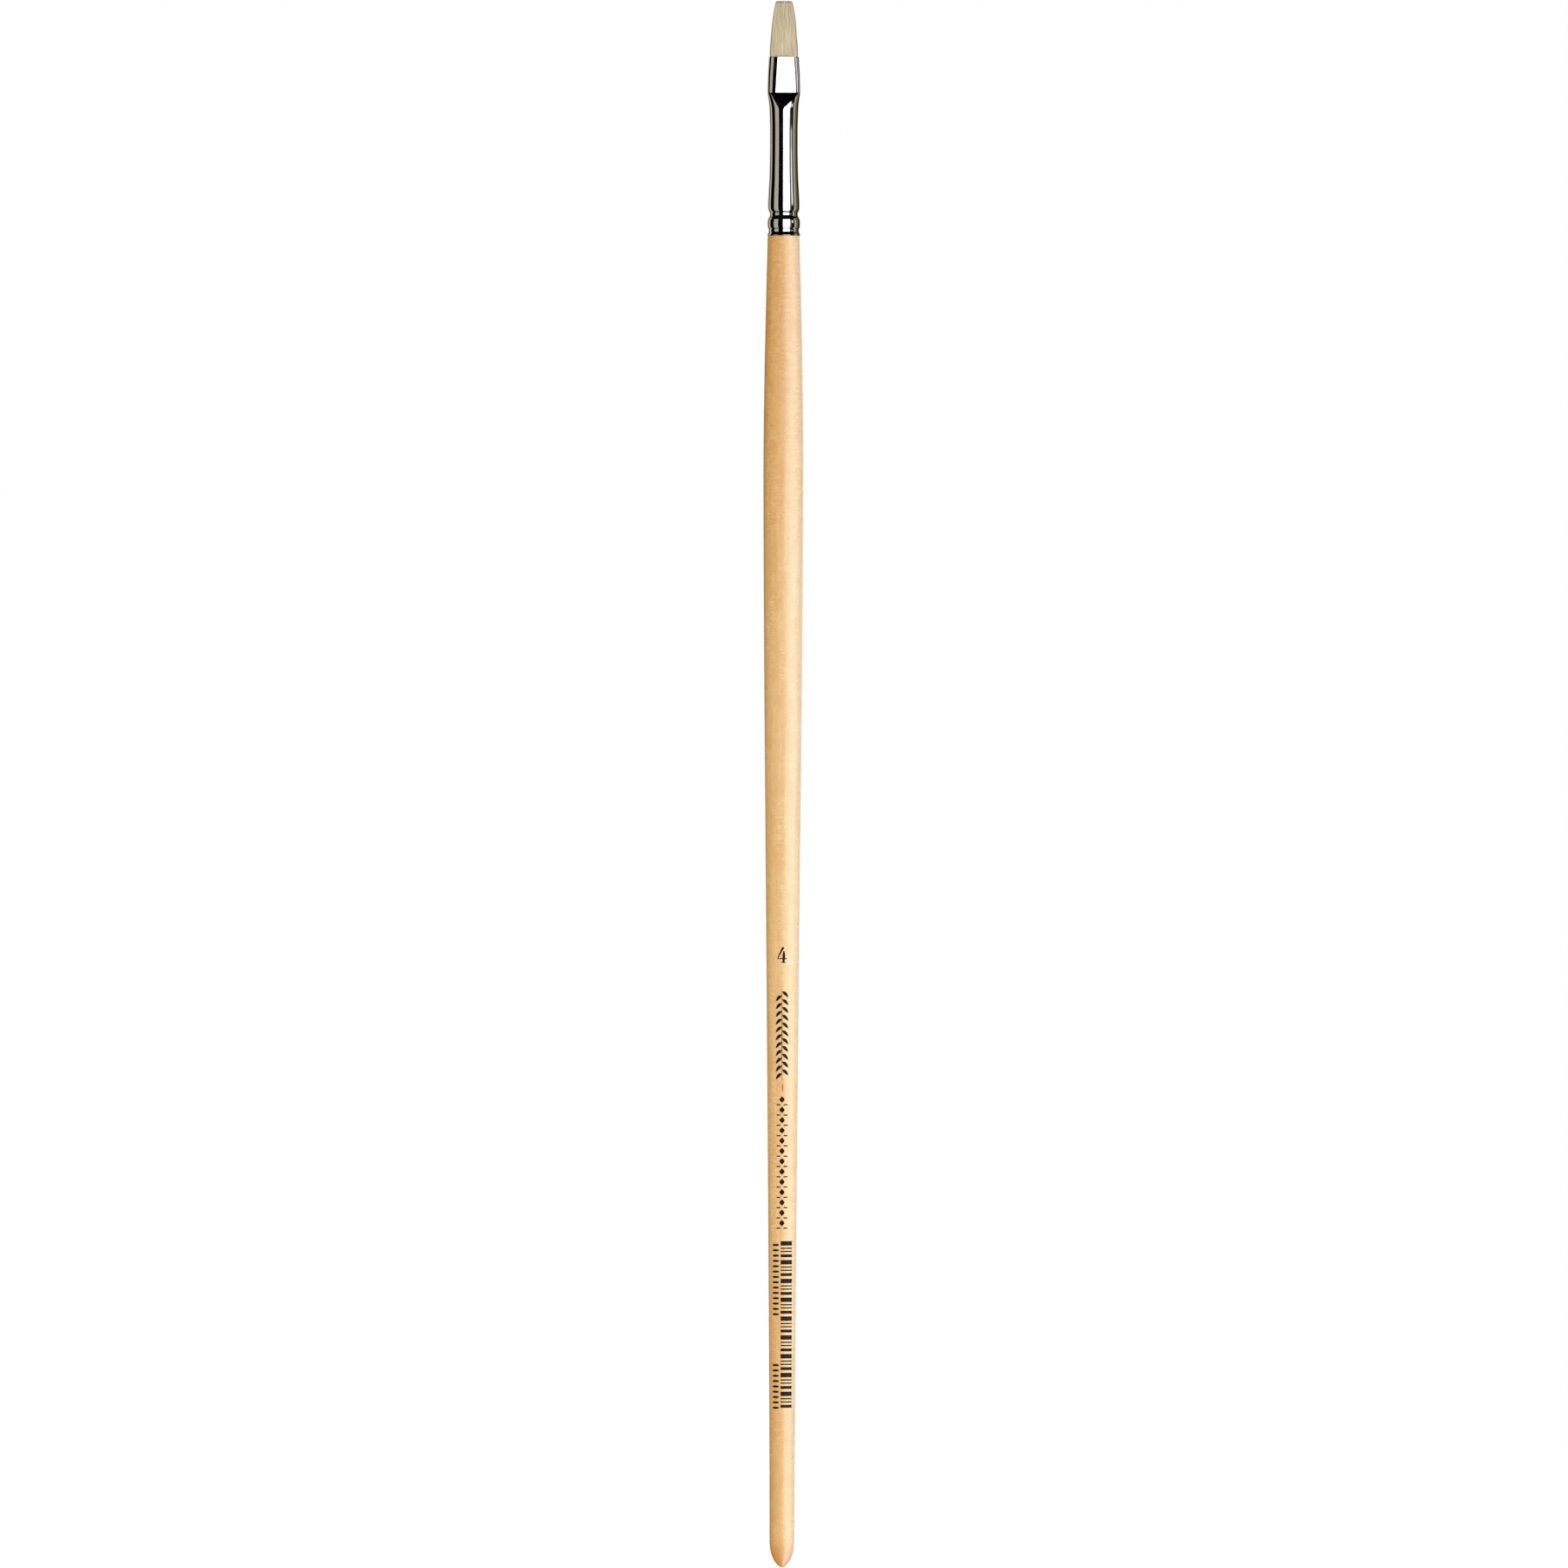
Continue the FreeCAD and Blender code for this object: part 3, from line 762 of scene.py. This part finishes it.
def polished_nickel(streaks, handling):
    """Bright nickel plate on a drawn tube: near mirror, with faint draw lines and handling scuffs."""
    material, nodes, shader, place = new_material("bright_nickel")
    lines = place_group(nodes, streaks, Place=place, Across=11.0, Along=0.10, Contrast=1.8).outputs[0]
    marks = place_group(nodes, handling, Place=place, Smudge_Size=0.35, Speck_Size=5.0)
    colour = nodes.ramp(lines, [(0.2, rgb(228, 225, 218)), (0.8, rgb(244, 242, 238))])
    colour = nodes.mix(nodes.math("MULTIPLY", marks.outputs["Speck"], 0.4), colour, rgb(180, 176, 168))
    nodes.put(shader, "Base Color", colour)
    shader.inputs["Metallic"].default_value = 1.0
    worn = nodes.math("MULTIPLY_ADD", marks.outputs["Smudge"], 0.035, 0.015)
    nodes.put(shader, "Roughness", nodes.math("MULTIPLY_ADD", lines, 0.02, worn))
    bump(nodes, shader, lines, 0.0006 * MM)
    return material


def brush_filament(streaks, name, depth):
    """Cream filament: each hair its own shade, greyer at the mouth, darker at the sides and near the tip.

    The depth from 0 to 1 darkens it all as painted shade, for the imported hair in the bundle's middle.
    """
    material, nodes, shader, place = new_material(name)
    shade = nodes.add("ShaderNodeAttribute", {"attribute_name": "shade"}).outputs["Fac"]
    rise = nodes.add("ShaderNodeAttribute", {"attribute_name": "rise"}).outputs["Fac"]
    streak = place_group(nodes, streaks, Place=place, Across=3.0, Along=0.10, Contrast=1.6).outputs[0]
    tone = nodes.math("MULTIPLY_ADD", shade, 0.55, nodes.math("MULTIPLY", streak, 0.45))
    colour = nodes.ramp(tone, [(0.15, rgb(208, 188, 149)), (0.5, rgb(229, 212, 178)),
                               (0.85, rgb(245, 232, 203))])
    root = nodes.span(rise, 0.0, 0.30, 1.0, 0.0, True)
    colour = nodes.mix(nodes.math("MULTIPLY", root, 0.40), colour, rgb(206, 192, 168))
    tip = nodes.math("MULTIPLY", nodes.span(rise, 0.945, 0.975, 0.0, 1.0, True),
                     nodes.span(rise, 0.985, 0.998, 1.0, 0.15, True))
    colour = nodes.mix(nodes.math("MULTIPLY", tip, 0.75), colour, rgb(120, 104, 80))
    # Painted shade: the outer filaments at both sides are darkened as shade where they turn away from the
    # light.
    side = nodes.add("ShaderNodeAttribute", {"attribute_name": "side"}).outputs["Fac"]
    colour = nodes.mix(nodes.math("MULTIPLY", side, 0.85), colour, rgb(118, 102, 76))
    # Painted shade: the depth darkens the whole piece, as shade inside the packed bundle.
    colour = nodes.mix(depth, colour, rgb(150, 132, 96))
    nodes.put(shader, "Base Color", colour)
    nodes.put(shader, "Roughness", nodes.span(tone, 0.0, 1.0, 0.52, 0.38))
    shader.inputs["Specular IOR Level"].default_value = 0.4
    bump(nodes, shader, streak, 0.004 * MM)
    return material


def printing_ink(handling, name, dark, pale):
    """Print under the varnish, a little uneven where the wood shows through."""
    material, nodes, shader, place = new_material(name)
    uneven = nodes.noise(place, 6.0, detail=3.0)
    marks = place_group(nodes, handling, Place=place, Smudge_Size=1.2, Speck_Size=9.0)
    colour = nodes.ramp(uneven, [(0.35, dark), (0.75, pale)])
    colour = nodes.mix(nodes.math("MULTIPLY", marks.outputs["Speck"], 0.5), colour, rgb(120, 84, 48))
    nodes.put(shader, "Base Color", colour)
    nodes.put(shader, "Roughness", nodes.span(uneven, 0.3, 0.7, 0.42, 0.55))
    shader.inputs["Specular IOR Level"].default_value = 0.04
    shader.inputs["Coat Weight"].default_value = 0.03
    shader.inputs["Coat Roughness"].default_value = 0.2
    return material


def set_resin(name, dark, pale, roughness, handling):
    """Hidden fillings: cement and glue, mottled, with trapped specks."""
    material, nodes, shader, place = new_material(name)
    cloud = nodes.noise(place, 1.4, detail=4.0, distortion=0.4)
    marks = place_group(nodes, handling, Place=place, Smudge_Size=0.8, Speck_Size=6.0)
    colour = nodes.ramp(cloud, [(0.3, dark), (0.7, pale)])
    colour = nodes.mix(nodes.math("MULTIPLY", marks.outputs["Speck"], 0.6), colour, dark)
    nodes.put(shader, "Base Color", colour)
    nodes.put(shader, "Roughness", nodes.span(cloud, 0.3, 0.7, roughness, roughness + 0.15))
    bump(nodes, shader, cloud, 0.03 * MM)
    return material


def pale_floor():
    """Plain pale studio surface with the faintest unevenness."""
    material, nodes, shader, place = new_material("pale_studio_surface")
    cloud = nodes.noise(place, 0.01, detail=2.0)
    pale = nodes.ramp(cloud, [(0.3, (0.93, 0.93, 0.93, 1)), (0.7, (0.96, 0.96, 0.96, 1))])
    nodes.put(shader, "Base Color", pale)
    shader.inputs["Roughness"].default_value = 0.7
    shader.inputs["Emission Color"].default_value = (1, 1, 1, 1)
    shader.inputs["Emission Strength"].default_value = 0.5
    return material


# ---------------------------------------------------------------------------------------------------------
# Studio
# ---------------------------------------------------------------------------------------------------------

# Cards round the metal, as (azimuth a card starts at, its colour). Azimuth runs from -180 behind the brush,
# through -90 on its left and 0 in front, to 180 behind it again. All angles are in degrees.
METAL_CARDS = [
    (-180, rgb(236, 232, 228)),
    (-150, rgb(206, 197, 183)),
    (-143, rgb(98, 86, 63)),
    (-125, rgb(202, 196, 181)),
    (-110, rgb(3, 3, 3)),
    (-74, rgb(178, 175, 165)),
    (-50, rgb(190, 187, 178)),
    (-41, rgb(2, 2, 2)),
    (44, rgb(92, 97, 104)),
    (57, rgb(18, 20, 23)),
    (83, rgb(196, 190, 176)),
    (92, rgb(150, 142, 120)),
    (103, rgb(104, 94, 70)),
    (121, rgb(52, 42, 26)),
    (150, rgb(178, 170, 156)),
    (163, rgb(234, 230, 226)),
]
CARD_EDGE = 1.0
CARD_TOP = 31.0
CARD_GAP = (-62.0, -41.0)
PANEL_SIDES = (-4.0, 46.0)
PANEL_LIGHT = 2.2
STRIP_SIDES = (59.0, 71.0)
STRIP_RISE = (-1.0, 4.5)
STRIP_FADE = (9.5, 12.5)
STRIP_LIGHT = rgb(244, 249, 255)

# Light round the wood and the hair, as (azimuth, light, how cool): a broad cool panel from 10 to 100
# degrees, soft at both sides, over a ring that falls away on the left.
WOOD_CARDS = [
    (-180, 1.0, 0.0), (-166, 1.0, 0.0), (-158, 0.03, 0.0), (-98, 0.03, 0.0), (-74, 0.3, 0.0),
    (-35, 0.9, 0.0), (-4, 1.6, 0.2), (6, 2.4, 0.6), (16, 4.1, 1.0), (30, 5.6, 1.0), (45, 6.8, 1.0),
    (70, 6.8, 1.0), (84, 5.3, 1.0), (100, 3.7, 0.8), (118, 2.1, 0.4), (136, 1.2, 0.0), (150, 0.9, 0.0),
    (166, 0.9, 0.0), (172, 1.0, 0.0), (180, 1.0, 0.0),
]
COOL = (0.72, 0.93, 1.05)
WOOD_LIGHT = 8.0
WOOD_TOP = 55.0

DOME_RADIUS = 3000.0
KEY_AZIMUTH = -9.0
KEY_RISE = 12.0
KEY_LIGHT = 1.60
KEY_SHARPNESS = 3.0
BACK_AZIMUTH = 142.0
BACK_LIGHT = 0.55
AMBIENT_LIGHT = 0.10
OVERHEAD_LIGHT = 0.34


def towards(azimuth, rise):
    """Unit direction from the brush at an azimuth from the front and a rise above the horizon."""
    azimuth, rise = math.radians(azimuth), math.radians(rise)
    return (math.sin(azimuth) * math.cos(rise), -math.cos(azimuth) * math.cos(rise), math.sin(rise))


def angles_round(nodes, direction):
    """Azimuth and rise of a direction, in degrees."""
    parts = nodes.add("ShaderNodeSeparateXYZ", Vector=direction).outputs
    ahead = nodes.math("MULTIPLY", parts["Y"], -1.0)
    azimuth = nodes.math("DEGREES", nodes.math("ARCTAN2", parts["X"], ahead))
    return azimuth, nodes.math("DEGREES", nodes.math("ARCSINE", parts["Z"]))


def between(nodes, value, low, high, soft):
    """Mask that is full between two values and fades over a soft edge at both."""
    after_low = nodes.span(value, low - soft, low + soft, smooth=True)
    before_high = nodes.span(value, high - soft, high + soft, 1.0, 0.0, True)
    return nodes.math("MULTIPLY", after_low, before_high)


def metal_light(nodes, azimuth, rise):
    """What the metal mirrors: the ring of cards with a bright panel in front and a strip to its right.

    The strip shows only between two rises, and the ring is dark above its top and in one gap below.
    """
    stops = []
    for index, (start, colour) in enumerate(METAL_CARDS):
        place = (start + 180) / 360
        if index:
            stops.append((place - CARD_EDGE / 720, METAL_CARDS[index - 1][1]))
        stops.append((place + CARD_EDGE / 720, colour))
    ring = card_ring(nodes, nodes.span(azimuth, -180.0, 180.0), stops)
    panel = between(nodes, azimuth, *PANEL_SIDES, 0.7)
    ring = nodes.mix(panel, ring, (PANEL_LIGHT, PANEL_LIGHT, PANEL_LIGHT * 1.02, 1.0))
    strip_rise = nodes.math("MULTIPLY", nodes.span(rise, *STRIP_RISE, smooth=True),
                            nodes.span(rise, *STRIP_FADE, 1.0, 0.0, True))
    strip = nodes.math("MULTIPLY", between(nodes, azimuth, *STRIP_SIDES, 0.8), strip_rise)
    ring = nodes.mix(strip, ring, STRIP_LIGHT)
    below_top = nodes.span(rise, CARD_TOP - 1.5, CARD_TOP + 1.5, 1.0, 0.0, True)
    gap = between(nodes, rise, *CARD_GAP, 1.0)
    lit = nodes.math("MULTIPLY", below_top, nodes.math("SUBTRACT", 1.0, gap))
    return nodes.mix(lit, rgb(2, 2, 2), ring)


def wood_light(nodes, azimuth, rise):
    """What the varnish and the hair mirror: a wide soft panel on the right that falls away on the left."""
    stops = [((at + 180) / 360, tuple(light / WOOD_LIGHT * (1 + cool * (part - 1)) for part in COOL) + (1.0,))
             for at, light, cool in WOOD_CARDS]
    ring = nodes.ramp(nodes.span(azimuth, -180.0, 180.0), stops)
    scaled = nodes.mix(1.0, ring, (WOOD_LIGHT,) * 3 + (1.0,), blend="MULTIPLY")
    below_top = nodes.span(rise, WOOD_TOP - 8.0, WOOD_TOP + 8.0, 1.0, 0.12, True)
    return nodes.mix(below_top, (0.0, 0.0, 0.0, 1.0), scaled)


def card_ring(nodes, place, stops):
    """Colours round the ring, on two ramps that meet in front because one ramp holds 32 stops."""
    half = 0.5
    left = [(at / half, colour) for at, colour in stops if at <= half]
    right = [((at - half) / half, colour) for at, colour in stops if at > half]
    left.append((1.0, left[-1][1]))
    right.insert(0, (0.0, left[-1][1]))
    left_side = nodes.ramp(nodes.span(place, 0.0, half), left)
    right_side = nodes.ramp(nodes.span(place, half, 1.0), right)
    return nodes.mix(nodes.math("GREATER_THAN", place, half), left_side, right_side)


def make_card_dome(name, radius, centre, light, receivers, columns=48, rows=24):
    """Dome of light that only chosen pieces mirror: a sphere of points about a height on the brush.

    The point at an azimuth and a rise is centre + radius * its direction. It glows inwards, adds to what
    lies behind it, and is hidden from the camera, from soft light and from shadows.
    """
    azimuth = np.linspace(0, 2 * math.pi, columns, endpoint=False)
    rise = np.linspace(-math.pi / 2, math.pi / 2, rows)[1:-1]
    level = np.cos(rise)[:, None]
    points = np.stack(np.broadcast_arrays(radius * level * np.sin(azimuth), -radius * level * np.cos(azimuth),
                                          centre + radius * np.sin(rise)[:, None]), axis=-1).reshape(-1, 3)
    faces = grid_faces(rows - 2, columns, False, True).tolist()
    faces.append(list(range(columns))[::-1])
    faces.append(list(range((rows - 3) * columns, (rows - 2) * columns)))
    dome = new_piece(name, points, faces)
    material = bpy.data.materials.new(name)
    material.use_nodes = True
    material.node_tree.nodes.clear()
    nodes = Nodes(material.node_tree)
    own = nodes.add("ShaderNodeTexCoord").outputs["Object"]
    from_centre = nodes.add("ShaderNodeMapping", Vector=own, Location=(0, 0, -centre * MM)).outputs["Vector"]
    direction = nodes.add("ShaderNodeVectorMath", {"operation": "NORMALIZE"})
    nodes.tree.links.new(from_centre, direction.inputs[0])
    glow = nodes.add("ShaderNodeEmission", Color=light(nodes, *angles_round(nodes, direction.outputs[0])),
                     Strength=1.0)
    clear = nodes.add("ShaderNodeBsdfTransparent", Color=(1, 1, 1, 1))
    both = nodes.add("ShaderNodeAddShader")
    output = nodes.add("ShaderNodeOutputMaterial")
    nodes.tree.links.new(glow.outputs[0], both.inputs[0])
    nodes.tree.links.new(clear.outputs[0], both.inputs[1])
    nodes.tree.links.new(both.outputs[0], output.inputs["Surface"])
    material.cycles.emission_sampling = "NONE"
    dome.data.materials.append(material)
    dome.visible_camera = False
    dome.visible_diffuse = False
    dome.visible_transmission = False
    dome.visible_volume_scatter = False
    dome.visible_shadow = False
    receiving = bpy.data.collections.new(f"{name}_receivers")
    for piece in receivers:
        receiving.objects.link(piece)
    dome.light_linking.receiver_collection = receiving


def make_studio():
    """Plain white surroundings whose soft light is strongest a little to the left of the front.

    Each lobe of light is its strength * cosine of the angle from its direction ^ its sharpness.
    """
    world = bpy.data.worlds.new("soft_studio")
    world.use_nodes = True
    world.node_tree.nodes.clear()
    nodes = Nodes(world.node_tree)
    direction = nodes.add("ShaderNodeTexCoord").outputs["Generated"]

    def lobe(toward, light, sharpness=1.0):
        dot = nodes.add("ShaderNodeVectorMath", {"operation": "DOT_PRODUCT"})
        nodes.tree.links.new(direction, dot.inputs[0])
        dot.inputs[1].default_value = toward
        facing = nodes.math("MAXIMUM", dot.outputs["Value"], 0.0)
        return nodes.math("MULTIPLY", nodes.math("POWER", facing, sharpness), light)

    fill = nodes.math("ADD", lobe(towards(KEY_AZIMUTH, KEY_RISE), KEY_LIGHT, KEY_SHARPNESS),
                      lobe(towards(BACK_AZIMUTH, 0.0), BACK_LIGHT))
    fill = nodes.math("ADD", fill, lobe((0, 0, 1), OVERHEAD_LIGHT))
    fill = nodes.math("ADD", fill, AMBIENT_LIGHT)
    path = nodes.add("ShaderNodeLightPath")
    seen = nodes.mix(path.outputs["Is Glossy Ray"], fill, (0.0, 0.0, 0.0, 1.0))
    seen = nodes.mix(path.outputs["Is Camera Ray"], seen, (1.0, 1.0, 1.0, 1.0))
    background = nodes.add("ShaderNodeBackground", Color=seen, Strength=1.0)
    output = nodes.add("ShaderNodeOutputWorld")
    nodes.tree.links.new(background.outputs[0], output.inputs["Surface"])
    bpy.context.scene.world = world


def make_floor(radius=600.0, columns=64, rows=8):
    """Plain round floor under the tail, a ring of points carried out from its middle."""
    ring = np.linspace(0, radius, rows + 1)[1:]
    angle = np.linspace(0, 2 * math.pi, columns, endpoint=False)
    points = np.stack(np.broadcast_arrays(ring[:, None] * np.cos(angle), ring[:, None] * np.sin(angle), TAIL),
                      axis=-1).reshape(-1, 3)
    faces = grid_faces(rows, columns, False, True)[:, ::-1].tolist()
    faces.append(list(range(columns)))
    floor = new_piece("floor", points, faces)
    floor.data.materials.append(pale_floor())
    floor.visible_glossy = False


CAMERA_LENS = 400.0
SENSOR = 36.0
FRAME_HEIGHT = 300.27
CAMERA_SIDE = 0.20
CAMERA_ROLL = 0.075


def make_camera():
    """Level camera in front of the brush, whose frame is just as tall as the brush."""
    data = bpy.data.cameras.new("camera")
    data.lens = CAMERA_LENS
    data.sensor_width = SENSOR
    data.clip_start = 0.01
    camera = bpy.data.objects.new("camera", data)
    distance = FRAME_HEIGHT * CAMERA_LENS / SENSOR
    camera.location = (CAMERA_SIDE * MM, -distance * MM, BRUSH_MIDDLE * MM)
    camera.rotation_euler = (math.pi / 2, -math.radians(CAMERA_ROLL), 0.0)
    bpy.context.scene.collection.objects.link(camera)
    bpy.context.scene.camera = camera


def main():
    """Build every piece, paint it, ride it on the brush's one body and set the studio round it."""
    streaks = make_streaks_group()
    handling = make_handling_group()
    wood = varnished_wood(streaks, handling)
    nickel = polished_nickel(streaks, handling)
    filament = brush_filament(streaks, "cream_filament", 0.0)
    # The imported hair in the bundle's middle gets painted shade through its depth of 0.35.
    shaded_packed_filament = brush_filament(streaks, "shaded_packed_filament", 0.35)
    ink = printing_ink(handling, "printed_ink", rgb(22, 12, 6), rgb(46, 28, 15))
    faint_ink = printing_ink(handling, "faint_ink", rgb(172, 118, 62), rgb(200, 148, 88))

    handle, ferrule, hair, core = make_handle(), make_ferrule(), make_hair(), make_hair_core()
    for piece, material, node, slot in (
        (handle, wood, "handle", "varnished_wood"),
        (ferrule, nickel, "ferrule", "plated_tube"),
        (hair, filament, "hair_bundle", "brush_hair"),
        (core, shaded_packed_filament, "hair_bundle", "brush_hair"),
    ):
        piece.data.materials.append(material)
        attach(piece, "root")
        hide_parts(node)

    cement = set_resin("root_cement_resin", rgb(150, 118, 74), rgb(196, 166, 118), 0.45, handling)
    glue = set_resin("amber_wood_glue", rgb(176, 122, 52), rgb(218, 172, 96), 0.30, handling)
    for node, material in (("root_cement", cement), ("tenon_glue", glue)):
        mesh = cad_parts[node].data
        mesh.materials.clear()
        mesh.materials.append(material)

    ticks = tick_row(-1.34, 30.1, 39.3, 1.02, 0.66) + tick_row(-1.34, 48.0, 62.3, 1.02, 0.66)
    prints = [
        print_strokes("size_numeral", numeral_four(-0.15, 115.8, 3.0), ink),
        print_strokes("leaf_spray_print", leaf_spray(-0.12, 93.3, 110.6), ink),
        print_strokes("dash_print", short_dash(0.0, 91.3, 92.6), faint_ink),
        print_strokes("lozenge_print", lozenge_band(-0.10, 65.0, 90.6), ink),
        print_strokes("bar_ladder_print", bar_ladder(-0.33, 2.02, 30.2, 62.6), ink),
        print_strokes("tick_print", ticks, ink),
    ]

    make_floor()
    make_studio()
    make_card_dome("metal_cards", DOME_RADIUS, (SHOULDER + MOUTH) / 2, metal_light, [ferrule])
    make_card_dome("wood_cards", DOME_RADIUS * 1.1, BRUSH_MIDDLE, wood_light, [handle, hair, core, *prints])
    make_camera()
    view = bpy.context.scene.view_settings
    view.view_transform = "Standard"
    view.look = "None"


main()
